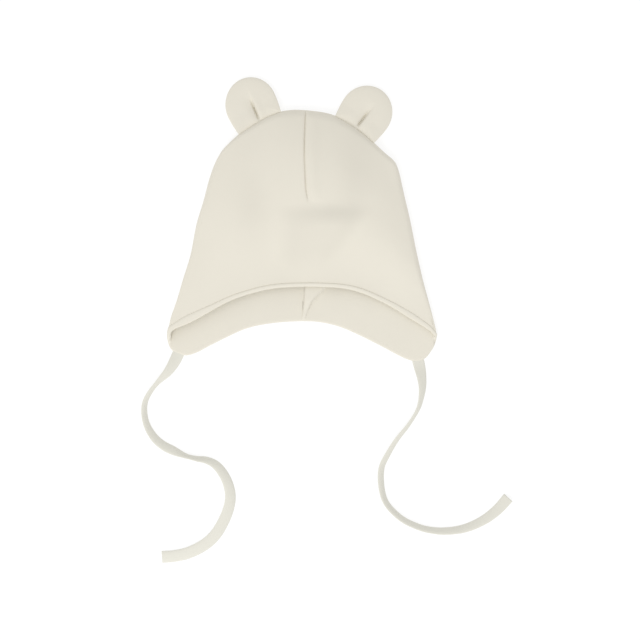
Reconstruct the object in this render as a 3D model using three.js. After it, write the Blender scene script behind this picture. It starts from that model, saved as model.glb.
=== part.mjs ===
// A baby hat with two round ears and two ties, lying flat on its back.
// Millimetres. +X is to the right seen from above, +Y points to the crown, +Z up from the surface.
import * as THREE from 'three';
import { mergeVertices } from 'three/addons/utils/BufferGeometryUtils.js';

// Outline of the bag
const hatWidth = 214; // across the two ear flaps
const hatLength = 200; // from the crown seam to the lower flap tip

// Cloth
const shellWall = 1;
const liningWall = 1;
const clearance = 0.3; // between pieces that are sewn together
const samePlace = 1e-6; // as a share of a border

// How the bag lies
const foldHalfHeight = 4.5; // half the height of the bag along its folds and crown seam
const foldReach = 7; // how far in from a fold the bag reaches that height
const crownRise = 15; // what the middle of the front lifts above that
const liftPeak = 0.45; // share down the front where it lifts most
const edgeLift = 0.3; // share of that lift left at the front edge

// Lining rolled out past the front edge of the outer layer
const rollWidth = 3.6;
const rollProud = 0.4; // above the outer layer
const rollFade = 0.12; // share of the width in which it starts and ends

// Dart in the front, the hollow below it, and the tuck in the lining's back
const dartHalfWidth = 3;
const dartDepth = 0.9;
const hollowRadius = 16;
const hollowDepth = 1.5;
const tuckHalfWidth = 7;
const tuckHalfLength = 20;
const tuckHeight = 2;

// Ears
const earHeight = 38;
const earWidth = 43;
const earThickness = 4.4;
const earCup = 1.6; // rise of the ear's edges above its middle
const earDroop = 1.9; // fall from the crown seam to the ear's tip
const earWidest = 0.42; // share of the height
const pinchDepth = 2.6;
const pinchHalfWidth = 4;
const pinchLength = 0.75; // share of the height

// Ties
const tieWidth = 9.5;
const tieThickness = 1.6;
const tieEdge = 0.4; // bevel along the strip
const tieSteps = 40;

// Borders of the bag: across is a share of half the width, down a share of the length
const crownSeamRows = [
  { across: -0.594, down: 0.161 },
  { across: -0.555, down: 0.139 },
  { across: -0.472, down: 0.098 },
  { across: -0.369, down: 0.062 },
  { across: -0.26, down: 0.028 },
  { across: -0.172, down: 0.009 },
  { across: -0.09, down: 0.001 },
  { across: -0.015, down: 0 },
  { across: 0.075, down: 0.004 },
  { across: 0.179, down: 0.012 },
  { across: 0.254, down: 0.025 },
  { across: 0.371, down: 0.062 },
  { across: 0.466, down: 0.099 },
  { across: 0.539, down: 0.132 },
  { across: 0.619, down: 0.172 },
  { across: 0.675, down: 0.197 },
  { across: 0.702, down: 0.214 },
];
const leftFoldRows = [
  { across: -0.594, down: 0.161 },
  { across: -0.64, down: 0.204 },
  { across: -0.687, down: 0.27 },
  { across: -0.735, down: 0.366 },
  { across: -0.784, down: 0.452 },
  { across: -0.832, down: 0.582 },
  { across: -0.888, down: 0.68 },
  { across: -0.94, down: 0.776 },
  { across: -0.985, down: 0.848 },
  { across: -0.998, down: 0.89 },
  { across: -0.998, down: 0.918 },
];
const rightFoldRows = [
  { across: 0.702, down: 0.214 },
  { across: 0.724, down: 0.248 },
  { across: 0.757, down: 0.326 },
  { across: 0.806, down: 0.438 },
  { across: 0.851, down: 0.558 },
  { across: 0.903, down: 0.68 },
  { across: 0.955, down: 0.784 },
  { across: 0.985, down: 0.846 },
  { across: 1, down: 0.882 },
  { across: 1, down: 0.906 },
];
const frontEdgeRows = [
  { across: -0.998, down: 0.918 },
  { across: -0.984, down: 0.893 },
  { across: -0.955, down: 0.875 },
  { across: -0.91, down: 0.866 },
  { across: -0.856, down: 0.86 },
  { across: -0.792, down: 0.843 },
  { across: -0.706, down: 0.812 },
  { across: -0.549, down: 0.764 },
  { across: -0.384, down: 0.732 },
  { across: -0.206, down: 0.711 },
  { across: 0.015, down: 0.704 },
  { across: 0.162, down: 0.705 },
  { across: 0.321, down: 0.712 },
  { across: 0.443, down: 0.728 },
  { across: 0.596, down: 0.764 },
  { across: 0.695, down: 0.793 },
  { across: 0.794, down: 0.826 },
  { across: 0.893, down: 0.858 },
  { across: 0.955, down: 0.88 },
  { across: 1, down: 0.906 },
];
const backHemRows = [
  { across: -0.998, down: 0.918 },
  { across: -0.988, down: 0.944 },
  { across: -0.961, down: 0.961 },
  { across: -0.922, down: 0.97 },
  { across: -0.866, down: 0.978 },
  { across: -0.799, down: 0.969 },
  { across: -0.687, down: 0.938 },
  { across: -0.552, down: 0.902 },
  { across: -0.425, down: 0.872 },
  { across: -0.284, down: 0.854 },
  { across: -0.09, down: 0.843 },
  { across: 0.119, down: 0.844 },
  { across: 0.284, down: 0.864 },
  { across: 0.433, down: 0.898 },
  { across: 0.612, down: 0.946 },
  { across: 0.746, down: 0.984 },
  { across: 0.821, down: 0.999 },
  { across: 0.873, down: 1 },
  { across: 0.922, down: 0.988 },
  { across: 0.963, down: 0.96 },
  { across: 0.992, down: 0.932 },
  { across: 1, down: 0.906 },
];

// Places on the bag, as shares
const dart = { across: 0.515, length: 0.53 }; // across the front from fold to fold, and down it
const hollow = { across: 0.17, down: 0.428 };
const tuck = { across: 0.1, down: 0.74 };

// Ears, by where they start and end along the crown seam
const ears = [
  { name: 'ear_left', start: -0.472, end: -0.157 },
  { name: 'ear_right', start: 0.25, end: 0.539 },
];

// Ties: where each is sewn to the back hem, and its route from there along the surface
const ties = [
  {
    name: 'tie_left',
    across: -0.922,
    route: [
      [0, 0], [-3.2, -7], [-8.2, -15.2], [-15.6, -23], [-21.7, -30.6], [-26, -39], [-26.6, -48.4],
      [-24, -58.6], [-18, -68], [-11.6, -73.4], [-4.5, -77.1], [6.5, -81.6], [15, -83.7], [22.2, -84.8],
      [29.6, -88.4], [36.2, -96.2], [40.4, -105.6], [41.8, -115.2], [39.6, -126.2], [32.6, -140.8],
      [26.8, -148.2], [19.4, -154], [7.8, -159.6], [-2.6, -162], [-13.1, -162.9],
    ],
  },
  {
    name: 'tie_right',
    across: 0.868,
    route: [
      [0, 0], [1.2, -5], [2.7, -11.8], [3.6, -19], [3.3, -25.6], [0.5, -37.6], [-7.4, -51], [-17.4, -63.8],
      [-25.3, -77], [-28.6, -84], [-29.6, -91.6], [-28.7, -102.7], [-26.6, -110.4], [-22.6, -116.8],
      [-11.8, -126.4], [2.7, -132.9], [11.6, -134.8], [20.7, -135.4], [36.4, -133.4], [52.2, -126.6],
      [63.4, -118.2], [71.8, -109],
    ],
  },
];

const cream = 0xe8e3d4;
const cloth = { color: cream, roughness: 0.95, metalness: 0 };

const { lerp, clamp } = THREE.MathUtils;

// A smooth curve through a table of rows.
function border(rows) {
  const points = rows.map(({ across, down }) => (
    new THREE.Vector3((across * hatWidth) / 2, -down * hatLength, 0)
  ));
  return new THREE.CatmullRomCurve3(points, false, 'centripetal');
}

const crownSeam = border(crownSeamRows);
const leftFold = border(leftFoldRows);
const rightFold = border(rightFoldRows);
const lowerEdge = { front: border(frontEdgeRows), back: border(backHemRows) };

// A flat point of the front or back, filled in between its four borders.
// Shares run from left to right, and from the crown seam down.
function flatPoint(panel, across, down) {
  const seam = crownSeam;
  const edge = lowerEdge[panel];
  const point = seam.getPointAt(across).multiplyScalar(1 - down);
  point.addScaledVector(edge.getPointAt(across), down);
  point.addScaledVector(leftFold.getPointAt(down), 1 - across);
  point.addScaledVector(rightFold.getPointAt(down), across);
  point.addScaledVector(seam.getPointAt(0), -(1 - across) * (1 - down));
  point.addScaledVector(seam.getPointAt(1), -across * (1 - down));
  point.addScaledVector(edge.getPointAt(0), -(1 - across) * down);
  point.addScaledVector(edge.getPointAt(1), -across * down);
  return point;
}

const widthAt = (down) => leftFold.getPointAt(down).distanceTo(rightFold.getPointAt(down));
const lengthAt = (panel, across) => (
  crownSeam.getPointAt(across).distanceTo(lowerEdge[panel].getPointAt(across))
);

// A quarter of a round, from 0 at a border to 1 where the fold ends.
function roundUp(share) {
  const rest = 1 - Math.min(share, 1);
  return Math.sqrt(1 - rest * rest);
}

// A soft bump, 1 at its middle.
const bump = (x, y) => Math.exp(-x * x - y * y);

// Lift down the middle of the front: quick from the crown seam to its peak, then easing to the edge.
function liftAt(down) {
  if (down < liftPeak) return 1 - (1 - down / liftPeak) ** 2;
  const share = (down - liftPeak) / (1 - liftPeak);
  return lerp(edgeLift, 1, (1 + Math.cos(Math.PI * share)) / 2);
}

const distanceFrom = (place, point) => [
  point.x - (place.across * hatWidth) / 2,
  point.y + place.down * hatLength,
];

// Height of the front above the top of its folds.
function frontLift(across, down, point) {
  const sideShare = 2 * Math.min(across, 1 - across);
  const crown = crownRise * (1 - (1 - sideShare) ** 2) * liftAt(down);
  const fromDart = Math.abs(across - dart.across) * widthAt(down);
  const dartFade = clamp((dart.length - down) / 0.1, 0, 1);
  const groove = dartDepth * dartFade * Math.max(0, 1 - fromDart / dartHalfWidth);
  const [dx, dy] = distanceFrom(hollow, point);
  return crown - groove - hollowDepth * bump(dx / hollowRadius, dy / hollowRadius);
}

// A point of the bag's outer face.
function facePoint(panel, across, down) {
  const point = flatPoint(panel, across, down);
  const fromFold = Math.min(across, 1 - across) * widthAt(down);
  const fromSeam = down * lengthAt(panel, across);
  const full = roundUp(fromFold / foldReach) * roundUp(fromSeam / foldReach);
  if (panel === 'back') point.z = foldHalfHeight * (1 - full);
  else point.z = foldHalfHeight + (foldHalfHeight + frontLift(across, down, point)) * full;
  return point;
}

// Which way one panel's outer face looks, found a little inside its borders.
function panelNormal(panel, across, down) {
  const step = 0.002;
  const u = clamp(across, 2 * step, 1 - 2 * step);
  const v = clamp(down, 2 * step, 1 - 2 * step);
  const right = facePoint(panel, u + step, v).sub(facePoint(panel, u - step, v));
  const up = facePoint(panel, u, v - step).sub(facePoint(panel, u, v + step));
  const normal = right.cross(up).normalize();
  return panel === 'back' ? normal.negate() : normal;
}

// Along the folds and the crown seam, front and back share one direction.
function faceNormal(panel, across, down) {
  const onBorder = Math.min(across, 1 - across, down) < samePlace;
  if (!onBorder) return panelNormal(panel, across, down);
  return panelNormal('front', across, down).add(panelNormal('back', across, down)).normalize();
}

const evenly = (from, to, count) => Array.from({ length: count }, (_, i) => lerp(from, to, i / (count - 1)));

// Lines of the mesh: close together round a fold, then evenly over the cloth.
const foldTurns = [0, 35, 65].map((degrees) => 1 - Math.cos(THREE.MathUtils.degToRad(degrees)));
const dartShare = dartHalfWidth / hatWidth;
const closeAtFirst = (from, to, count) => (
  evenly(0, 1, count).map((share) => ({ cloth: lerp(from, to, lerp(share, share * share, 0.5)) }))
);
const columns = [
  ...foldTurns.map((turn) => ({ left: turn })),
  ...closeAtFirst(0, dart.across - dartShare, 8),
  { cloth: dart.across },
  ...closeAtFirst(1, dart.across + dartShare, 8).reverse(),
  ...foldTurns.map((turn) => ({ right: turn })).reverse(),
];
const rows = [
  ...foldTurns.map((turn) => ({ top: turn })),
  ...evenly(0, 1, 12).map((cloth) => ({ cloth })),
];

// The loop of columns round the bag: over the front to the right, back under it to the left.
const loop = [
  ...columns.map((column) => ({ panel: 'front', ...column })),
  ...columns.slice(1, -1).reverse().map((column) => ({ panel: 'back', ...column })),
];

// How far a column stands across the bag, at a share down it.
function acrossAt({ left, right, cloth }, down) {
  const reach = foldReach / widthAt(down);
  if (left !== undefined) return left * reach;
  if (right !== undefined) return 1 - right * reach;
  return lerp(reach, 1 - reach, cloth);
}

// 1 over the front, falling to 0 at its corners and over the back.
function overFront({ panel, left, right, cloth }) {
  if (panel === 'back' || left !== undefined || right !== undefined) return 0;
  return clamp(Math.min(cloth, 1 - cloth) / rollFade, 0, 1);
}

// A point on one column, `depth` under the outer face. `fromEdge` counts up from the lower edge, and
// without it the row counts down from the crown seam to where the cloth ends.
function layerPoint(column, row, depth, clothEnd, fromEdge) {
  const guess = fromEdge === undefined ? (row.cloth ?? 0) : 1;
  const guessAcross = acrossAt(column, guess);
  const length = lengthAt(column.panel, guessAcross);
  let down = 1 - (fromEdge ?? 0) / length;
  if (fromEdge === undefined) {
    const reach = foldReach / length;
    down = row.top === undefined ? lerp(reach, 1 - clothEnd / length, row.cloth) : row.top * reach;
  }
  const across = acrossAt(column, down);
  const normal = faceNormal(column.panel, across, down);
  return facePoint(column.panel, across, down).addScaledVector(normal, -depth);
}

// A closed body from a grid of points: runs of points, side by side round a loop. Each four points
// are split along one diagonal, or along the other where the run is to be turned.
function bodyFromGrid(grid, turned = () => false) {
  const position = grid.flat().flatMap((point) => [point.x, point.y, point.z]);
  const count = grid[0].length;
  const index = [];
  grid.forEach((_, i) => {
    const here = i * count;
    const next = ((i + 1) % grid.length) * count;
    for (let j = 0; j + 1 < count; j += 1) {
      const [a, b, c, d] = [here + j, here + j + 1, next + j + 1, next + j];
      if (turned(i, j)) index.push(a, b, d, b, c, d);
      else index.push(a, b, c, a, c, d);
    }
  });
  const geometry = new THREE.BufferGeometry();
  geometry.setAttribute('position', new THREE.Float32BufferAttribute(position, 3));
  geometry.setIndex(index);
  return withoutSlivers(mergeVertices(geometry, 1e-3));
}

// The split mirrors from left to right over the front, and inside it lies under the one outside.
const splitTurned = (insideFrom) => (i, j) => (i < columns.length / 2) !== (j >= insideFrom);

// Drops the triangles that have two corners in one place, as at a pole.
function withoutSlivers(geometry) {
  const corners = geometry.getIndex().array;
  const kept = [];
  for (let i = 0; i < corners.length; i += 3) {
    const [a, b, c] = corners.slice(i, i + 3);
    if (a !== b && b !== c && c !== a) kept.push(a, b, c);
  }
  geometry.setIndex(kept);
  geometry.computeVertexNormals();
  return geometry;
}

// The outer layer: out along its face, round the cut edge and back inside.
function outerShell() {
  const grid = loop.map((column) => {
    const end = rollWidth * overFront(column);
    const outside = rows.map((row) => layerPoint(column, row, 0, end));
    const inside = rows.map((row) => layerPoint(column, row, shellWall, end)).reverse();
    return [...outside, ...inside];
  });
  return bodyFromGrid(grid, splitTurned(rows.length));
}

// The lining: inside the outer layer, and rolled out past its edge along the front.
function lining() {
  const outer = shellWall + clearance;
  const inner = outer + liningWall;
  const rollTurns = evenly(0, Math.PI, 4);
  const grid = loop.map((column) => {
    const front = overFront(column);
    const end = rollWidth * front;
    const top = lerp(outer, -rollProud, front);
    const radius = (inner - top) / 2;
    const outside = rows.map((row) => layerPoint(column, row, outer, end));
    const roll = rollTurns.map((turn) => (
      layerPoint(column, {}, top + radius * (1 - Math.cos(turn)), 0, (rollWidth / 3) * front * (1 - Math.sin(turn)))
    ));
    const inside = rows.map((row) => withTuck(column.panel, layerPoint(column, row, inner, end))).reverse();
    return [...outside, ...roll, ...inside];
  });
  return bodyFromGrid(grid, splitTurned(rows.length + rollTurns.length));
}

// The spare cloth of the lining's back, tucked to one side of its seam.
function withTuck(panel, point) {
  if (panel === 'front') return point;
  const [dx, dy] = distanceFrom(tuck, point);
  const rise = tuckHeight * bump(dx / tuckHalfWidth, dy / tuckHalfLength);
  return point.clone().add(new THREE.Vector3(0, 0, rise));
}

// The place along a border where it reaches a share of half the width.
function shareAt(curve, across) {
  const target = (across * hatWidth) / 2;
  let [low, high] = [0, 1];
  for (let i = 0; i < 30; i += 1) {
    const middle = (low + high) / 2;
    if (curve.getPointAt(middle).x < target) low = middle;
    else high = middle;
  }
  return (low + high) / 2;
}

// An ear: a flat round petal that stands on the crown seam, with a fold pinched into its base.
function ear({ start, end }) {
  const [from, to] = [shareAt(crownSeam, start), shareAt(crownSeam, end)];
  const left = crownSeam.getPointAt(from);
  const right = crownSeam.getPointAt(to);
  const along = right.clone().sub(left).normalize();
  const out = new THREE.Vector3(-along.y, along.x, 0);
  const middle = left.clone().add(right).multiplyScalar(0.5);
  const baseHalf = left.distanceTo(right) / 2;
  const tipShare = (up) => clamp((up - earWidest) / (1 - earWidest), 0, 1);

  const halfWidthAt = (up) => {
    if (up < earWidest) return lerp(baseHalf, earWidth / 2, Math.sin(((up / earWidest) * Math.PI) / 2));
    return (earWidth / 2) * Math.sqrt(1 - tipShare(up) ** 2);
  };

  const earPoint = (side, up, face) => {
    const halfWidth = halfWidthAt(up);
    const chord = middle.clone().addScaledVector(along, side * baseHalf);
    const base = crownSeam.getPointAt(lerp(from, to, (side + 1) / 2)).addScaledVector(out, clearance);
    const point = middle.clone().addScaledVector(along, side * halfWidth).addScaledVector(out, up * earHeight);
    point.addScaledVector(base.sub(chord), Math.max(0, 1 - up / earWidest));
    const half = (earThickness / 2) * Math.sqrt(1 - Math.abs(side) ** 3) * Math.sqrt(1 - tipShare(up) ** 3);
    const pinchFade = clamp((pinchLength - up) / (pinchLength / 2), 0, 1);
    const pinch = face > 0 ? pinchDepth * pinchFade * bump((side * halfWidth) / pinchHalfWidth, 0) : 0;
    const cup = earCup * side * side * (1 - tipShare(up));
    point.z = foldHalfHeight + cup - earDroop * up + face * half - pinch;
    return point;
  };

  const ups = [
    ...evenly(0, earWidest, 4),
    ...[18, 36, 54, 70, 82, 90].map((degrees) => lerp(earWidest, 1, Math.sin(THREE.MathUtils.degToRad(degrees)))),
  ];
  const ring = [
    ...ups.map((up) => ({ up, face: 1 })),
    ...ups.slice(0, -1).reverse().map((up) => ({ up, face: -1 })),
  ];
  const grid = ring.map(({ up, face }) => evenly(-1, 1, 13).map((side) => earPoint(side, up, face)));
  return bodyFromGrid(grid);
}

// The strip's cross-section: x is its thickness and y its width.
function tieSection() {
  const [x, y] = [tieThickness / 2, tieWidth / 2];
  const shape = new THREE.Shape();
  shape.moveTo(x, y - tieEdge);
  shape.lineTo(x - tieEdge, y);
  shape.lineTo(-x + tieEdge, y);
  shape.lineTo(-x, y - tieEdge);
  shape.lineTo(-x, -y + tieEdge);
  shape.lineTo(-x + tieEdge, -y);
  shape.lineTo(x - tieEdge, -y);
  shape.lineTo(x, -y + tieEdge);
  shape.closePath();
  return shape;
}

// A tie: a flat strip that leaves the flap's edge and lies along the surface.
function tie({ across, route }) {
  const share = shareAt(lowerEdge.back, across);
  const root = lowerEdge.back.getPointAt(share);
  const tangent = lowerEdge.back.getTangentAt(share);
  root.addScaledVector(new THREE.Vector3(tangent.y, -tangent.x, 0), clearance);
  const height = tieThickness / 2 + clearance / 2;
  const points = route.map(([x, y]) => new THREE.Vector3(root.x + x, root.y + y, height));
  const path = new THREE.CatmullRomCurve3(points, false, 'centripetal');
  return new THREE.ExtrudeGeometry(tieSection(), { steps: tieSteps, extrudePath: path });
}

function piece(name, geometry) {
  const mesh = new THREE.Mesh(geometry, new THREE.MeshStandardMaterial(cloth));
  mesh.name = name;
  return mesh;
}

const hat = new THREE.Group();
hat.add(piece('outer_shell', outerShell()));
hat.add(piece('lining', lining()));
ears.forEach((row) => hat.add(piece(row.name, ear(row))));

// The origin is under the middle of the hat, without its ties.
const box = new THREE.Box3().setFromObject(hat);
const centre = box.getCenter(new THREE.Vector3());
hat.position.set(-centre.x, -centre.y, -box.min.z);

ties.forEach((row) => hat.add(piece(row.name, tie(row))));

export default hat;
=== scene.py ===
import math

import bmesh
import bpy
import numpy as np
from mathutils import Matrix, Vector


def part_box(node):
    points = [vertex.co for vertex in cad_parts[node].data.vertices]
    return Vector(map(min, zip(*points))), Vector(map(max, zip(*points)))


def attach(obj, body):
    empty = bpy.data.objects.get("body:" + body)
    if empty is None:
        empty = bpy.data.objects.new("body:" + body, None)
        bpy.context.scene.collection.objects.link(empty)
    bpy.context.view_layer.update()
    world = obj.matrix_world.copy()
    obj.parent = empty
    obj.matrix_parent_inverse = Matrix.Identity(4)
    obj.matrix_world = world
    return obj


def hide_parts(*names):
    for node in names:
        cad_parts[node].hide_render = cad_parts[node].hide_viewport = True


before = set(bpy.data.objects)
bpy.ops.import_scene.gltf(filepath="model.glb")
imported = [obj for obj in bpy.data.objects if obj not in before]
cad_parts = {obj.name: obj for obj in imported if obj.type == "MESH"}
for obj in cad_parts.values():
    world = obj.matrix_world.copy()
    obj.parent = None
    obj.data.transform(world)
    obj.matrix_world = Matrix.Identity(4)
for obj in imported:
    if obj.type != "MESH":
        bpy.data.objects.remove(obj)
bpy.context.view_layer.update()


# The camera hangs straight above the hat, as in the photo. The hat lies on a white light table, whose
# glow leaves hardly any shadow, under an even white sky and a wide soft lamp to the lower left.
photo_side = 0.512  # what the square photo shows of the floor
photo_middle = (0.0143, -0.0802)
camera_height = 1.5
sensor_width = 36  # millimetres
camera = bpy.data.cameras.new("camera")
camera.sensor_width = sensor_width
camera.lens = sensor_width * camera_height / photo_side
eye = bpy.data.objects.new("camera", camera)
eye.location = (*photo_middle, camera_height)
bpy.context.scene.collection.objects.link(eye)
bpy.context.scene.camera = eye
bpy.context.scene.view_settings.view_transform = "Standard"

floor_side = 8
floor_white = (0.3, 0.3, 0.3, 1)
floor_glow = 0.72
floor_roughness = 0.9
white = (1, 1, 1, 1)
sky_strength = 0.84
lamp_power = 12
lamp_size = 1.1
lamp_place = (-0.5, -1.2, 1.4)

floor_mesh = bpy.data.meshes.new("floor")
bm = bmesh.new()
bmesh.ops.create_grid(bm, x_segments=1, y_segments=1, size=floor_side / 2)
bm.to_mesh(floor_mesh)
bm.free()
floor = bpy.data.objects.new("floor", floor_mesh)
floor_paint = bpy.data.materials.new("floor_paint")
floor_paint.use_nodes = True
floor_shader = floor_paint.node_tree.nodes["Principled BSDF"]
floor_shader.inputs["Base Color"].default_value = floor_white
floor_shader.inputs["Roughness"].default_value = floor_roughness
floor_shader.inputs["Emission Color"].default_value = white
floor_shader.inputs["Emission Strength"].default_value = floor_glow
floor_mesh.materials.append(floor_paint)
bpy.context.scene.collection.objects.link(floor)

sky = bpy.data.worlds.new("sky")
sky.use_nodes = True
sky_shader = sky.node_tree.nodes["Background"]
sky_shader.inputs["Color"].default_value = white
sky_shader.inputs["Strength"].default_value = sky_strength
bpy.context.scene.world = sky

lamp = bpy.data.lights.new("soft_lamp", "AREA")
lamp.shape = "DISK"
lamp.size = lamp_size
lamp.energy = lamp_power
soft_lamp = bpy.data.objects.new("soft_lamp", lamp)
soft_lamp.location = lamp_place
soft_lamp.rotation_euler = (-soft_lamp.location).to_track_quat("-Z", "Y").to_euler()
bpy.context.scene.collection.objects.link(soft_lamp)


# The ties are flat strips of the same jersey, turned and pressed, sewn into the two flap tips. They
# lie loose, and where they bend they tip up on edge and curl in, so that they look narrower from above.
tie_width = 0.0095
tie_thickness = 0.0014
tie_cup = 0.02  # radius to which the strip curls across its width
tie_curl = 0.35  # how much narrower it is where it stands on edge
tie_over_floor = 0.00015
tie_in_hem = 0.003  # how far its root goes in between the layers
tie_flatness = 0.6  # powers under 1 turn the strip's oval section into a rounded flat one
tie_edge_roundness = 0.8
tie_cup_growth = 12  # the strip is flat at its root and curls fully after a twelfth of its length
tie_steps = 260
tie_ring = 28
tie_weld = 1e-6
ties = {
    "left": {
        "exit": (-0.09886, -0.10683),
        "route": [
            (0, 0), (-0.0032, -0.007), (-0.0082, -0.0152), (-0.0156, -0.023), (-0.0217, -0.0306),
            (-0.026, -0.039), (-0.0266, -0.0484), (-0.024, -0.0586), (-0.018, -0.068),
            (-0.0116, -0.0734), (-0.0045, -0.0771), (0.0065, -0.0816), (0.015, -0.0837),
            (0.0222, -0.0848), (0.0296, -0.0884), (0.0362, -0.0962), (0.0404, -0.1056),
            (0.0418, -0.1152), (0.0396, -0.1262), (0.0326, -0.1408), (0.0268, -0.1482),
            (0.0194, -0.154), (0.0078, -0.1596), (-0.0026, -0.162), (-0.0131, -0.1629),
        ],
        "length": 0.242,
        "tips": [(0, 0), (0.03, 10), (0.08, 34), (0.14, 68), (0.2, 60), (0.27, 54), (0.33, 42),
                 (0.4, 34), (0.455, 68), (0.5, 54), (0.56, 36), (0.64, 26), (0.74, 16), (0.85, 8),
                 (1, 4)],
    },
    "right": {
        "exit": (0.09281, -0.11294),
        "route": [
            (0, 0), (0.0012, -0.005), (0.0027, -0.0118), (0.0036, -0.019), (0.0033, -0.0256),
            (0.0005, -0.0376), (-0.0074, -0.051), (-0.0174, -0.0638), (-0.0253, -0.077),
            (-0.0286, -0.084), (-0.0296, -0.0916), (-0.0287, -0.1027), (-0.0266, -0.1104),
            (-0.0226, -0.1168), (-0.0118, -0.1264), (0.0027, -0.1329), (0.0116, -0.1348),
            (0.0207, -0.1354), (0.0364, -0.1334), (0.0522, -0.1266), (0.0634, -0.1182),
            (0.0718, -0.109),
        ],
        "length": 0.237,
        "tips": [(0, 0), (0.03, 8), (0.07, 30), (0.14, 56), (0.2, 70), (0.28, 62), (0.36, 54),
                 (0.44, 50), (0.52, 54), (0.6, 54), (0.68, 54), (0.78, 46), (0.88, 36), (1, 18)],
    },
}
jersey_cream = (0.76, 0.724, 0.632)
tie_cream = (0.735, 0.72, 0.645)


def smooth_line(points, count):
    """Points at even steps along a smooth curve through the given ones."""
    steps_between = 24
    given = np.array(points, float)
    given = np.vstack([2 * given[0] - given[1], given, 2 * given[-1] - given[-2]])
    gaps = np.linalg.norm(np.diff(given, axis=0), axis=1) ** 0.5
    share = np.linspace(0, 1, steps_between + 1)[1:, None]
    run = [given[1:2]]
    for i in range(len(given) - 3):
        a, b, c, d = given[i : i + 4]
        before, gap, after = gaps[i : i + 3]
        leaving = gap * ((b - a) / before - (c - a) / (before + gap) + (c - b) / gap)
        arriving = gap * ((c - b) / gap - (d - b) / (gap + after) + (d - c) / after)
        near = 3 * share**2 - 2 * share**3
        run.append(
            b + near * (c - b) + share * (1 - share) ** 2 * leaving - share**2 * (1 - share) * arriving
        )
    run = np.vstack(run)
    along = np.append(0, np.cumsum(np.linalg.norm(np.diff(run, axis=0), axis=1)))
    even = np.linspace(0, along[-1], count)
    return np.stack([np.interp(even, along, column) for column in run.T], axis=1)


def eased(share, rows):
    """A value between the rows of a table, without corners."""
    steps = 400
    width = 21
    at, value = np.array(rows, float).T
    fine = np.linspace(at[0], at[-1], steps)
    rough = np.interp(fine, at, value)
    window = np.hanning(width + 2)[1:-1]
    soft = np.convolve(np.pad(rough, width // 2, mode="edge"), window, "valid")
    return np.interp(share, fine, soft / window.sum())


def lay_grid(bm, places):
    """Adds a grid whose points lie at places, by row and column, and writes where each point is on
    the flat cloth, in metres, to the UV map."""
    rows, columns = places.shape[:2]
    over = np.linalg.norm(np.diff(places, axis=1), axis=2).cumsum(axis=1)
    down = np.linalg.norm(np.diff(places, axis=0), axis=2).cumsum(axis=0)
    over = np.pad(over, ((0, 0), (1, 0)))
    over -= over[:, columns // 2, None]
    down = np.pad(down, ((1, 0), (0, 0)))
    uv = bm.loops.layers.uv.verify()
    made = bmesh.ops.create_grid(bm, x_segments=columns - 1, y_segments=rows - 1, size=0.5)["verts"]
    for vert in made:
        column = round((vert.co.x + 0.5) * (columns - 1))
        row = round((0.5 - vert.co.y) * (rows - 1))
        vert.co = places[row, column]
        for loop in vert.link_loops:
            loop[uv].uv = (over[row, column], -down[row, column])
    return made


def node(tree, kind, **values):
    """A shader node with its settings and inputs set, each given by its name."""
    made = tree.nodes.new(kind)
    for name, value in values.items():
        if hasattr(made, name):
            setattr(made, name, value)
        else:
            made.inputs[name].default_value = value
    return made


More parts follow.
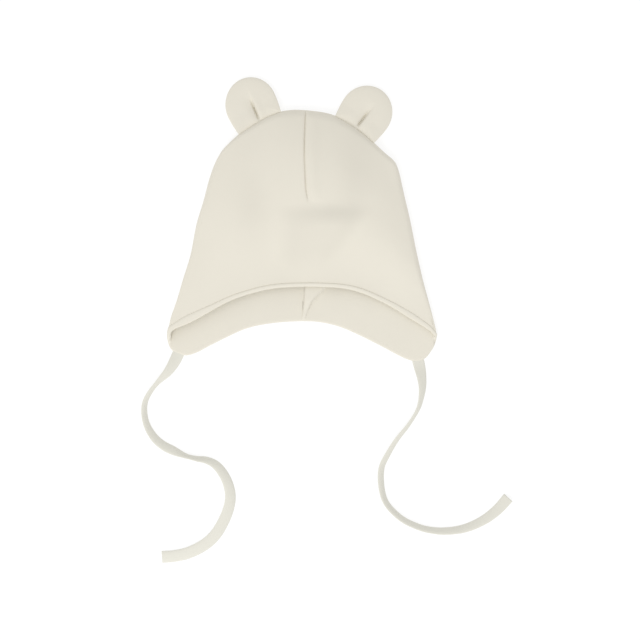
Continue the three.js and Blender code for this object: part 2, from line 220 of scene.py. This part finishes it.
def jersey(name, colour):
    """Fine cotton jersey: upright ribs of small V stitches, a soft nap and a faint unevenness, with
    painted shade in the grooves between the stitches. Where the mesh carries painted shade, it darkens
    the cloth further."""
    roughness = 0.92
    shine = 0.18
    fuzz = 0.12
    fuzz_roughness = 0.55
    rib = 0.00085
    stitch = 0.00062
    stitch_slant = 1.1
    stitch_depth = 0.45
    nap_scale = 2600.0
    nap_depth = 0.5
    relief = 0.00012
    relief_strength = 0.32
    cloud_scale = 34.0
    darkest, lightest = 0.945, 1.03
    made = bpy.data.materials.new(name)
    made.use_nodes = True
    tree = made.node_tree
    link = tree.links.new
    shader = tree.nodes["Principled BSDF"]
    shader.inputs["Roughness"].default_value = roughness
    shader.inputs["Specular IOR Level"].default_value = shine
    shader.inputs["Sheen Weight"].default_value = fuzz
    shader.inputs["Sheen Roughness"].default_value = fuzz_roughness
    place = node(tree, "ShaderNodeTexCoord")
    split = node(tree, "ShaderNodeSeparateXYZ")
    link(place.outputs["UV"], split.inputs[0])

    def work(operation, first, second=0.0):
        made = node(tree, "ShaderNodeMath", operation=operation)
        for socket, value in zip(made.inputs, (first, second)):
            if isinstance(value, float):
                socket.default_value = value
            else:
                link(value, socket)
        return made.outputs[0]

    ribs = work("MULTIPLY", split.outputs["X"], 1 / rib)
    round_rib = work("ABSOLUTE", work("SINE", work("MULTIPLY", ribs, math.pi)))
    slant = work("MULTIPLY", work("PINGPONG", ribs, 0.5), stitch_slant)
    rows = work("ADD", work("MULTIPLY", split.outputs["Y"], 1 / stitch), slant)
    loops = work("ABSOLUTE", work("SINE", work("MULTIPLY", rows, math.pi)))
    stitches = work("ADD", work("MULTIPLY", loops, stitch_depth), 1 - stitch_depth)
    knit = work("MULTIPLY", round_rib, stitches)

    nap = node(tree, "ShaderNodeTexNoise", Scale=nap_scale, Detail=3.0)
    link(place.outputs["Object"], nap.inputs["Vector"])
    surface = work("ADD", knit, work("MULTIPLY", nap.outputs["Fac"], nap_depth))
    bump = node(tree, "ShaderNodeBump", Strength=relief_strength, Distance=relief)
    link(surface, bump.inputs["Height"])
    link(bump.outputs["Normal"], shader.inputs["Normal"])

    cloud = node(tree, "ShaderNodeTexNoise", Scale=cloud_scale, Detail=4.0)
    link(place.outputs["Object"], cloud.inputs["Vector"])
    # Painted shade: the colour is darker in the knit's grooves, and the cloud adds faint random
    # unevenness
    groove_shade_and_unevenness = work("MULTIPLY", work("ADD", knit, cloud.outputs["Fac"]), 0.5)
    tint = node(tree, "ShaderNodeMix", data_type="RGBA", blend_type="MIX")
    link(groove_shade_and_unevenness, tint.inputs[0])
    tint.inputs[6].default_value = (*(part * darkest for part in colour), 1)
    tint.inputs[7].default_value = (*(min(1, part * lightest) for part in colour), 1)
    # painted shade, carried by the mesh, darkens the colour towards black
    painted_shade = node(tree, "ShaderNodeAttribute", attribute_name="painted_shade")
    painted_shade_mix = node(tree, "ShaderNodeMix", data_type="RGBA", blend_type="MIX")
    link(painted_shade.outputs["Fac"], painted_shade_mix.inputs[0])
    link(tint.outputs[2], painted_shade_mix.inputs[6])
    painted_shade_mix.inputs[7].default_value = (0, 0, 0, 1)
    link(painted_shade_mix.outputs[2], shader.inputs["Base Color"])
    return made


def finished(name, bm, material):
    """Makes the object, with smooth faces."""
    mesh = bpy.data.meshes.new(name)
    for face in bm.faces:
        face.smooth = True
    bm.to_mesh(mesh)
    bm.free()
    mesh.materials.append(material)
    made = bpy.data.objects.new(name, mesh)
    bpy.context.scene.collection.objects.link(made)
    return made


def tie(side, facts, material):
    """One tie along its route, each stretch tipped on edge by its own angle, in degrees."""
    start = np.array(facts["exit"])
    route = start + np.array(facts["route"])
    inward = route[0] - route[1]
    root = route[0] + inward / np.linalg.norm(inward) * tie_in_hem
    line = smooth_line([root, *route], tie_steps)
    share = np.linspace(0, 1, tie_steps)
    forward = np.gradient(line, axis=0)
    forward /= np.linalg.norm(forward, axis=1)[:, None]
    sideways = np.stack([forward[:, 1], -forward[:, 0]], axis=1)

    turn = np.linspace(0, 2 * math.pi, tie_ring)
    flat = np.sign(np.cos(turn)) * np.abs(np.cos(turn)) ** tie_flatness * tie_width / 2
    thick = np.sign(np.sin(turn)) * np.abs(np.sin(turn)) ** tie_edge_roundness * tie_thickness / 2
    thick = thick - flat**2 / (2 * tie_cup) * np.clip(share * tie_cup_growth, 0, 1)[:, None]
    tip = np.radians(eased(share, facts["tips"]))[:, None]
    flat = flat * (1 - tie_curl * np.sin(tip) ** 2)
    over = flat * np.cos(tip) - thick * np.sin(tip)
    up = flat * np.sin(tip) + thick * np.cos(tip)
    lowest = up.min(axis=1, keepdims=True)
    up = up - lowest + tie_over_floor
    places = np.empty((tie_steps, tie_ring, 3))
    places[..., :2] = line[:, None] + over[..., None] * sideways[:, None]
    places[..., 2] = up

    bm = bmesh.new()
    lay_grid(bm, places)
    bmesh.ops.remove_doubles(bm, verts=bm.verts[:], dist=tie_weld)
    bmesh.ops.holes_fill(bm, edges=bm.edges[:], sides=0)
    bmesh.ops.recalc_face_normals(bm, faces=bm.faces[:])
    strip = finished(f"tie_{side}_jersey", bm, material)
    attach(strip, "root")
    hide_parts(f"tie_{side}")


tie_cloth = jersey("tie_jersey_cloth", tie_cream)
for side, facts in ties.items():
    tie(side, facts, tie_cloth)


# The outer layer is one bag of jersey, sewn along the crown and down a short dart, and folded at its
# sides. It lies on its back, and its front rises a little over the hollow inside.
hat_half_width = 0.107
hat_length = 0.2
shell_wall = 0.001
fold_half_height = 0.0045
fold_reach = 0.0075  # how far in from a fold or the crown seam its rounding ends
crown_rise = 0.013  # how far the middle of the front rises
lift_peak = 0.45  # share of the way down where it rises highest
edge_lift = 0.1  # share of that rise left at the front edge
border_points = 900
seam_weld = 2e-6
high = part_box("outer_shell")[1]
crown = np.array([high.x - hat_half_width, high.y])

# Borders, as shares of the half width across and of the length down
crown_seam_rows = [
    (-0.594, 0.161), (-0.555, 0.139), (-0.472, 0.098), (-0.369, 0.062), (-0.26, 0.028), (-0.172, 0.009),
    (-0.09, 0.001), (-0.015, 0), (0.075, 0.004), (0.179, 0.012), (0.254, 0.025), (0.371, 0.062),
    (0.466, 0.099), (0.539, 0.132), (0.619, 0.172), (0.675, 0.197), (0.702, 0.214),
]
left_fold_rows = [
    (-0.594, 0.161), (-0.64, 0.204), (-0.687, 0.27), (-0.735, 0.366), (-0.784, 0.452), (-0.832, 0.582),
    (-0.888, 0.68), (-0.94, 0.776), (-0.985, 0.848), (-0.998, 0.89), (-0.998, 0.918),
]
right_fold_rows = [
    (0.702, 0.214), (0.724, 0.248), (0.757, 0.326), (0.806, 0.438), (0.851, 0.558), (0.903, 0.68),
    (0.955, 0.784), (0.985, 0.846), (1, 0.882), (1, 0.906),
]
front_edge_rows = [
    (-0.998, 0.918), (-0.984, 0.893), (-0.955, 0.875), (-0.91, 0.864), (-0.856, 0.853), (-0.792, 0.836),
    (-0.706, 0.81), (-0.549, 0.764), (-0.384, 0.732), (-0.206, 0.711), (0.015, 0.704), (0.162, 0.705),
    (0.321, 0.712), (0.443, 0.728), (0.596, 0.764), (0.695, 0.793), (0.794, 0.826), (0.893, 0.858),
    (0.955, 0.88), (1, 0.906),
]
back_hem_rows = [
    (-0.998, 0.918), (-0.988, 0.944), (-0.961, 0.961), (-0.922, 0.97), (-0.866, 0.978), (-0.799, 0.969),
    (-0.687, 0.938), (-0.552, 0.902), (-0.425, 0.872), (-0.284, 0.854), (-0.09, 0.843), (0.119, 0.844),
    (0.284, 0.864), (0.433, 0.898), (0.612, 0.946), (0.746, 0.984), (0.821, 0.999), (0.873, 1),
    (0.922, 0.988), (0.963, 0.96), (0.992, 0.932), (1, 0.906),
]
band_width = [(0, 0.0108), (0.01, 0.0087), (0.02, 0.0064), (0.03, 0.0049), (0.045, 0.0043),
              (0.06, 0.005), (0.08, 0.0064), (0.1, 0.0065), (0.12, 0.0062), (0.15, 0.0054), (0.2, 0.004),
              (0.25, 0.0033), (0.3, 0.0029), (0.5, 0.0025), (0.6, 0.0026), (0.7, 0.0029), (0.8, 0.0034),
              (0.86, 0.0045), (0.89, 0.005), (0.92, 0.0045), (0.96, 0.0038), (1, 0.003)]
# How far the front is pressed down at its edge: a little in the middle, and flat at the right end
edge_press = [
    (0, 0), (0.12, 0.0002), (0.3, 0.0013), (0.5, 0.0026), (0.7, 0.0034), (0.84, 0.0041), (1, 0.0043),
]
press_start = 0.6


def border(rows):
    """A border of the lying hat as a smooth line, in metres."""
    shares = np.array(rows)
    return smooth_line(crown + shares * (hat_half_width, -hat_length), border_points)


crown_seam = border(crown_seam_rows)
left_fold = border(left_fold_rows)
right_fold = border(right_fold_rows)
lower_edge = {"front": border(front_edge_rows), "back": border(back_hem_rows)}


def along(line, share):
    """The place at a share of the way along a border."""
    ends = np.linspace(0, 1, len(line))
    return np.stack([np.interp(share, ends, column) for column in line.T], axis=-1)


def flat_place(panel, across, down):
    """A place on one panel, filled in between its four borders."""
    edge = lower_edge[panel]
    a, d = across[..., None], down[..., None]
    sides = along(left_fold, down) * (1 - a) + along(right_fold, down) * a
    ends = along(crown_seam, across) * (1 - d) + along(edge, across) * d
    top = crown_seam[0] * (1 - a) + crown_seam[-1] * a
    bottom = edge[0] * (1 - a) + edge[-1] * a
    return sides + ends - top * (1 - d) - bottom * d


def width_at(down):
    return np.linalg.norm(along(right_fold, down) - along(left_fold, down), axis=-1)


def length_at(panel, across):
    return np.linalg.norm(along(lower_edge[panel], across) - along(crown_seam, across), axis=-1)


def round_up(share):
    """A quarter of a round, from 0 to 1."""
    return np.sqrt(1 - (1 - np.clip(share, 0, 1)) ** 2)


def step_up(value, start, end):
    """0 before start, 1 after end, and smooth between them."""
    share = np.clip((value - start) / (end - start), 0, 1)
    return share * share * (3 - 2 * share)


def hump(place, middle, reach_x, reach_y):
    """A soft round rise, 1 at its middle."""
    x = (place[..., 0] - middle[0]) / reach_x
    y = (place[..., 1] - middle[1]) / reach_y
    return np.exp(-x * x - y * y)


def with_humps(start, place, rows):
    """start with soft rises added, each given by its height, middle and reach along x and y."""
    for height, middle, reach_x, reach_y in rows:
        start = start + height * hump(place, middle, reach_x, reach_y)
    return start


def lift_at(down):
    """Lift down the middle of the front: quick from the crown seam to its peak, then easing off."""
    rising = 1 - (1 - down / lift_peak) ** 2
    easing = (1 + np.cos(math.pi * np.clip((down - lift_peak) / (1 - lift_peak), 0, 1))) / 2
    return np.where(down < lift_peak, rising, edge_lift + (1 - edge_lift) * easing)


# The dart, from the crown down: the cloth sinks along its seam, and lifts a little to the right of it
dart_line = smooth_line(
    [
        (0.003, 0.0886), (0.0022, 0.0667), (0.002, 0.05), (0.0026, 0.036), (0.0035, 0.0207),
        (0.005, 0.0128),
    ],
    200,
)
dart_fade = 0.006
groove_depth = 0.0017
groove_width = 0.00055
ridge_height = 0.0009
ridge_from_dart = 0.006
ridge_width = 0.0045
front_humps = [(-0.0024, (-0.029, 0.014), 0.016, 0.034), (0.0024, (0.031, 0.03), 0.018, 0.028)]

# Below the dart the cloth swells past a crest, which bends up at its right end and down at its left
swell_height = 0.0038
swell_middle = 0.026
swell_left_reach = 0.032
swell_right_reach = 0.022
swell_crest = 0.0035
swell_start, swell_end = -0.01, 0.009  # of its climb, down from the crest
swell_fade = 0.042

# A soft slanting crease at the right end of the swell
crease_middle = (0.04, -0.013)
crease_side = (0.819, -0.573)  # the direction across it
crease_depth = 0.0022
crease_width = 0.0105
crease_length = 0.026


def front_forms(place):
    """What shapes the front beside its lift: the dart, the swell below it, and soft humps round it."""
    x, y = place[..., 0], place[..., 1]
    dart_x = np.interp(-y, -dart_line[:, 1], dart_line[:, 0])
    beside = x - dart_x
    stretch = step_up(y, dart_line[-1, 1] - 0.001, dart_line[-1, 1] + dart_fade)
    groove = -groove_depth * np.exp(-np.abs(beside) / groove_width)
    ridge = ridge_height * np.exp(-(((beside - ridge_from_dart) / ridge_width) ** 2))
    ridge = ridge * step_up(beside, 0, 0.003)
    forms = with_humps((groove + ridge) * stretch, place, front_humps)

    reach = np.where(x < swell_middle, swell_left_reach, swell_right_reach)
    crest = swell_crest + 0.09 * np.clip(x - 0.03, 0, None) - 0.04 * np.clip(0.02 - x, 0, None)
    fall = np.exp(-np.clip(crest - swell_end - y, 0, None) / swell_fade)
    rise = step_up(crest - y, swell_start, swell_end) * fall
    forms += swell_height * rise * np.exp(-(((x - swell_middle) / reach) ** 2))

    from_x, from_y = x - crease_middle[0], y - crease_middle[1]
    beside = crease_side[0] * from_x + crease_side[1] * from_y
    on_line = crease_side[1] * from_x - crease_side[0] * from_y
    return forms - crease_depth * np.exp(-((beside / crease_width) ** 2) - (on_line / crease_length) ** 2)


def face_place(panel, across, down):
    """A place on the bag's outer face."""
    flat = flat_place(panel, across, down)
    from_fold = np.minimum(across, 1 - across) * width_at(down)
    from_seam = down * length_at(panel, across)
    full = round_up(from_fold / fold_reach) * round_up(from_seam / fold_reach)
    if panel == "back":
        height = fold_half_height * (1 - full)
    else:
        middle = 1 - (1 - 2 * np.minimum(across, 1 - across)) ** 2
        lift = crown_rise * middle * lift_at(down)
        press = np.interp(across, *np.array(edge_press).T) * step_up(down, press_start, 1)
        height = fold_half_height + (fold_half_height + lift - press + front_forms(flat)) * full
    return np.concatenate([flat, height[..., None]], axis=-1)


def outward(panel, across, down):
    """Which way one panel's outer face looks, found a little inside its borders."""
    step = 0.002
    u = np.clip(across, 2 * step, 1 - 2 * step)
    v = np.clip(down, 2 * step, 1 - 2 * step)
    right = face_place(panel, u + step, v) - face_place(panel, u - step, v)
    up = face_place(panel, u, v - step) - face_place(panel, u, v + step)
    normal = np.cross(right, up) * (1 if panel == "front" else -1)
    return normal / np.linalg.norm(normal, axis=-1, keepdims=True)


def under_face(panel, across, down, depth):
    """A place at a depth under the outer face. Along the folds and the crown seam, front and back go
    in the same direction."""
    front, back = outward("front", across, down), outward("back", across, down)
    shared = (front + back) / np.linalg.norm(front + back, axis=-1, keepdims=True)
    on_border = np.minimum(np.minimum(across, 1 - across), down)[..., None] < 1e-6
    normal = np.where(on_border, shared, front if panel == "front" else back)
    return face_place(panel, across, down) - np.asarray(depth)[..., None] * normal


def crowded(count, power=2.2):
    """Shares from 0 to 1, close together at both ends."""
    even = np.linspace(0, 1, count)
    return even**power / (even**power + (1 - even) ** power)


side_columns = 58
side_gap = 0.004


def spread(start, end, count):
    """Columns from the left fold to the right one, with many between start and end."""
    side = crowded(side_columns)
    return np.concatenate([
        side * (start - side_gap),
        np.linspace(start, end, count),
        1 - side[::-1] * (1 - end - side_gap),
    ])


dart_share = 0.5
dart_half = 0.016
shell_columns = spread(dart_share - dart_half, dart_share + dart_half, 29)
upper_rows = crowded(60)[:31]
rows = np.concatenate([upper_rows[:-1], np.linspace(upper_rows[-1], 1, 66)])


def on_dart(columns, down):
    """Columns shifted in each row so that the middle one follows the dart."""
    tries = np.linspace(0.42, 0.58, 81)
    places = flat_place("front", *np.broadcast_arrays(tries, down[:, :1]))
    beside = places[..., 0] - np.interp(-places[..., 1], -dart_line[:, 1], dart_line[:, 0])
    found = np.array([np.interp(0, row, tries) for row in beside])[:, None]
    lower = columns * found / dart_share
    upper = 1 - (1 - columns) * (1 - found) / (1 - dart_share)
    return np.where(columns < dart_share, lower, upper)


back_fade = 0.05


def over_front(panel, across):
    """1 over the front, and on the back falling to 0 a little way in from the folds."""
    if panel == "front":
        return np.ones_like(across)
    return 1 - step_up(np.minimum(across, 1 - across), 0, back_fade)


def band_at(panel, across):
    """How far the lining comes out past the outer layer."""
    return np.interp(across, *np.array(band_width).T) * over_front(panel, across)


hem_turn = 0.001  # radius of the lining's turn round the lower edge


def bag(panel_places):
    """Front and back, sewn together along the folds and the crown seam."""
    bm = bmesh.new()
    lay_grid(bm, panel_places("front"))
    back = lay_grid(bm, panel_places("back"))
    bmesh.ops.reverse_faces(bm, faces=list({face for vert in back for face in vert.link_faces}))
    bmesh.ops.remove_doubles(bm, verts=bm.verts[:], dist=seam_weld)
    return bm


def shell_panel(panel):
    """One panel of the outer layer, from the crown seam down to the lining's band or turn."""
    across, share = np.meshgrid(shell_columns, rows)
    if panel == "front":
        across = on_dart(across, share)
    end = 1 - np.maximum(band_at(panel, across), hem_turn) / length_at(panel, across)
    return under_face(panel, across, share * end, np.zeros_like(across))


# How much darker the cloth is painted, as shade: in its sunk part, and in patches given as for with_humps
sunk_painted_shade = 0.05
painted_shade_patches = [
    (0.03, (0.03, 0.006), 0.026, 0.007), (0.036, (-0.041, 0.012), 0.013, 0.022),
    (0.02, (0.04, 0.03), 0.012, 0.022),
]


def front_painted_shade(place):
    """Painted shade on the front: soft darker patches where it sinks below the dart, and beside the dart.
    """
    x, y = place[..., 0], place[..., 1]
    right_of = crease_side[0] * (x - 0.036) + crease_side[1] * (y - crease_middle[1])
    sunk = step_up(x, -0.022, -0.006) * step_up(-y, -0.0125, -0.003)
    sunk = sunk * (1 - step_up(right_of, -0.006, 0.006)) * (1 - step_up(-y, 0.022, 0.046))
    return with_humps(sunk_painted_shade * sunk, place, painted_shade_patches)


shell = finished("outer_shell_jersey", bag(shell_panel), jersey("outer_jersey_cloth", jersey_cream))
shell_places = np.array([vert.co for vert in shell.data.vertices])
# painted shade on the raised front: darker where it sinks below the dart and beside the dart
painted_shade = shell.data.attributes.new("painted_shade", "FLOAT", "POINT")
painted_shade.data.foreach_set("value", front_painted_shade(shell_places) * (shell_places[:, 2] > fold_half_height))
wall = shell.modifiers.new("wall", "SOLIDIFY")
wall.thickness = shell_wall
wall.offset = -1
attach(shell, "root")
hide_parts("outer_shell")


# The lining is a second bag of the same jersey inside the first. Along the front edge it rolls out
# past the outer layer as a narrow band, and in the middle of its back the spare cloth is tucked.
lining_wall = 0.0009
lining_over_floor = 0.0001
layer_gap = 0.0003
lining_depth = shell_wall + layer_gap + lining_wall / 2
lining_columns = spread(0.495, 0.6, 60)
band_bulge = 0.0001  # how much further out the band's middle stands than its sides
band_least = 0.0004
band_end_drop = 0.0007  # how far the band's free edge dips, to meet the edge of the outer layer
band_steps = 9
hem_steps = 11
tuck_height = 0.0028
tuck_full_width = 0.006
back_seam_depth = 0.00025
back_seam_width = 0.0004
tuck_seam = [(0.0022, -0.046), (0.0022, -0.0535), (0.0016, -0.066), (0.0002, -0.0775), (-0.0002, -0.083)]
tuck_edge = [(0.0245, -0.046), (0.0185, -0.0535), (0.0118, -0.0605), (0.0071, -0.066), (0.0042, -0.0725),
             (0.0022, -0.0785), (0.0014, -0.083)]


def lining_forms(place):
    """The tuck beside the back seam: a flat wedge that rises from the seam and drops at its edge."""
    x, y = place[..., 0], place[..., 1]
    seam_y, edge_y = -np.array(tuck_seam)[:, 1], -np.array(tuck_edge)[:, 1]
    seam_x = np.interp(-y, seam_y, np.array(tuck_seam)[:, 0])
    edge_x = np.interp(-y, edge_y, np.array(tuck_edge)[:, 0])
    rising = step_up(x, seam_x - 0.0004, seam_x + 0.0009)
    falling = 1 - step_up(x, edge_x - 0.0003, edge_x + 0.0005)
    seam = -back_seam_depth * np.exp(-(((x - seam_x) / back_seam_width) ** 2))
    width = np.clip((edge_x - seam_x) / tuck_full_width, 0, 1)
    fade = (1 - step_up(y, -0.049, -0.04)) * step_up(y, -0.082, -0.076)
    return (tuck_height * rising * falling * width + seam) * fade


def lining_panel(panel):
    """One panel of the lining: down inside the outer layer, round the lower edge, and out as the band."""
    columns = lining_columns
    front = over_front(panel, columns)
    length = length_at(panel, columns)
    band = band_at(panel, columns)
    across, share = np.meshgrid(columns, rows)
    depth = np.full_like(across, lining_depth)
    places = [under_face(panel, across, share * (1 - hem_turn / length), depth)]
    if panel == "back":
        places[0][..., 2] += lining_forms(places[0])
    turn_depth = lining_depth - hem_turn
    for angle in np.linspace(-90, 90, hem_steps)[1:]:
        a = np.radians(np.where(angle > 0, angle * front, angle))
        down = 1 - hem_turn * (1 - np.cos(a)) / length
        places.append(under_face(panel, columns, down, turn_depth - hem_turn * np.sin(a))[None])
    flap_start = hem_turn * (1 - np.cos(np.radians(90 * front)))
    top = turn_depth - hem_turn * np.sin(np.radians(90 * front))
    for share in np.linspace(0, 1, band_steps)[1:]:
        from_edge = flap_start + np.maximum(band - flap_start, band_least) * share
        deeper = -band_bulge * math.sin(math.pi * share) + band_end_drop * share**6
        places.append(under_face(panel, columns, 1 - from_edge / length, top + deeper * front)[None])
    places = np.concatenate(places)
    places[..., 2] = np.maximum(places[..., 2], lining_wall / 2 + lining_over_floor)
    return places


lining = finished("lining_jersey", bag(lining_panel), jersey("lining_jersey_cloth", jersey_cream))
lining_thickness = lining.modifiers.new("wall", "SOLIDIFY")
lining_thickness.thickness = lining_wall
lining_thickness.offset = 0
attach(lining, "root")
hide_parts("lining")


# Each ear is two round pieces of jersey, sewn, turned and lightly filled. Its base is caught in the
# crown seam, with one fold pinched into its front.
ear_height = 0.038
ear_width = 0.0416
ear_thickness = 0.0046
ear_cup = 0.0016
ear_droop = 0.0019
ear_widest = 0.42  # share of its height
ear_heart = 0.45  # share of its height where the mesh is centred
ear_steps = 121
base_tuck = 0.0005
base_lift = 0.0015
pinch_depth = 0.0042
hollow_share = 0.38  # of the pinch's depth, the rest being its slit
lip_height = 0.0006
ears = {
    "left": {
        "start": -0.472,
        "end": -0.157,
        "lean": 0.002,
        "pinch": [(-0.0336, 0.0782), (-0.0425, 0.0992)],
    },
    "right": {
        "start": 0.25,
        "end": 0.539,
        "lean": -0.0007,
        "pinch": [(0.0437, 0.0735), (0.0557, 0.0896)],
    },
}


def seam_share(across):
    """The share along the crown seam where it reaches a share of half the width."""
    ends = np.linspace(0, 1, len(crown_seam))
    return np.interp(crown[0] + across * hat_half_width, crown_seam[:, 0], ends)


def bell(value, width):
    """1 at 0, and falling softly to both sides."""
    return np.exp(-((value / width) ** 2))


def ear(side, facts, material):
    """One ear: its outline on the crown seam, a round mesh fitted into it, and its pinched front."""
    start, end = seam_share(facts["start"]), seam_share(facts["end"])
    left, right = along(crown_seam, start), along(crown_seam, end)
    chord = right - left
    base_half = np.linalg.norm(chord) / 2
    chord = chord / np.linalg.norm(chord)
    out = np.array([-chord[1], chord[0]])
    middle = (left + right) / 2

    above = ear_widest + (1 - ear_widest) * np.sin(np.linspace(0, math.pi / 2, 40))
    up = np.concatenate([np.linspace(0, ear_widest, 30), above[1:]])
    tip = np.clip((up - ear_widest) / (1 - ear_widest), 0, 1)
    half = np.where(
        up < ear_widest,
        base_half + (ear_width / 2 - base_half) * np.sin(np.clip(up / ear_widest, 0, 1) * math.pi / 2),
        ear_width / 2 * np.sqrt(1 - tip**2),
    )
    right_side = np.stack([half, up * ear_height], 1)
    left_side = np.stack([-half, up * ear_height], 1)[::-1]
    outline = np.concatenate([right_side, left_side[1:]])
    heart = np.array([0, ear_height * ear_heart])
    base_line = np.stack([np.linspace(-base_half, base_half, 40)[1:-1], np.zeros(38)], 1)
    ring = np.concatenate([outline, base_line]) - heart
    angles = np.unwrap(np.arctan2(ring[:, 1], ring[:, 0]))
    reach = np.linalg.norm(ring, axis=1)

    even = np.linspace(-1, 1, ear_steps)
    side_steps = 0.6 * even + 0.4 * np.sin(even * math.pi / 2)
    a, b = np.meshgrid(side_steps, -side_steps)
    x, y = a * np.sqrt(1 - b * b / 2), b * np.sqrt(1 - a * a / 2)
    rho, theta = np.hypot(x, y), np.arctan2(y, x)
    theta = np.where(theta < angles[0], theta + 2 * math.pi, theta)
    all_round = np.append(angles, angles[0] + 2 * math.pi)
    radius = rho * np.interp(theta, all_round, np.append(reach, reach[0]))
    local = np.stack([radius * np.cos(theta), radius * np.sin(theta)], -1) + heart
    rise = np.clip(local[..., 1] / ear_height, 0, 1)

    seam_at = along(crown_seam, start + (end - start) * np.clip(local[..., 0] / base_half + 1, 0, 2) / 2)
    flat = middle + (local[..., :1] + facts["lean"] * rise[..., None]) * chord + local[..., 1:] * out
    flat = flat - base_tuck * (1 - step_up(rise, 0, 0.3))[..., None] * out
    bow = seam_at - (middle + np.clip(local[..., :1], -base_half, base_half) * chord)
    flat = flat + bow * np.maximum(0, 1 - rise / ear_widest)[..., None]

    roundness = 0.85 - 0.35 * step_up(rise, 0, 0.3)
    thick = ear_thickness / 2 * np.clip(1 - rho**3, 0, 1) ** roundness
    foot, top = np.array(facts["pinch"][0]), np.array(facts["pinch"][1])
    line = top - foot
    length = np.linalg.norm(line)
    line = line / length
    q = ((flat - foot) @ line) / length
    beside = (flat - foot) @ np.array([line[1], -line[0]])
    hollow_side = 0.0028 + 0.003 * np.clip(q, 0, 1)
    hollow = np.where(beside < 0, bell(beside, hollow_side), bell(beside, 0.0012))
    hollow = hollow_share * hollow * step_up(q, -0.3, 0.3) * (1 - step_up(q, 0.6, 1.25))
    slit = np.where(beside < 0, bell(beside, 0.0009), bell(beside, 0.0006))
    crease = hollow + (1 - hollow_share) * slit * step_up(q, -0.02, 0.2) * (1 - step_up(q, 0.45, 0.95))
    lip = lip_height * bell(beside - 0.0034, 0.0028) * step_up(beside, 0, 0.0015)
    lip = lip * step_up(q, -0.25, 0.12) * (1 - step_up(q, 0.45, 1.05))
    cup = ear_cup * np.clip(np.abs(local[..., 0]) / (ear_width / 2), 0, 1) ** 2 * (1 - rise)
    bed = fold_half_height + cup - ear_droop * rise + base_lift * (1 - step_up(rise, 0, 0.35))

    bm = bmesh.new()
    inside = np.clip(thick / ear_thickness * 2, 0, 1) ** 0.5
    front = bed + thick + (lip - pinch_depth * crease) * inside
    back = bed - thick
    lay_grid(bm, np.concatenate([flat, front[..., None]], -1))
    behind = lay_grid(bm, np.concatenate([flat, back[..., None]], -1))
    bmesh.ops.reverse_faces(bm, faces=list({face for vert in behind for face in vert.link_faces}))
    bmesh.ops.remove_doubles(bm, verts=bm.verts[:], dist=seam_weld)
    made = finished(f"ear_{side}_jersey", bm, material)
    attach(made, "root")
    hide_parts(f"ear_{side}")


ear_cloth = jersey("ear_jersey_cloth", jersey_cream)
for side, facts in ears.items():
    ear(side, facts, ear_cloth)
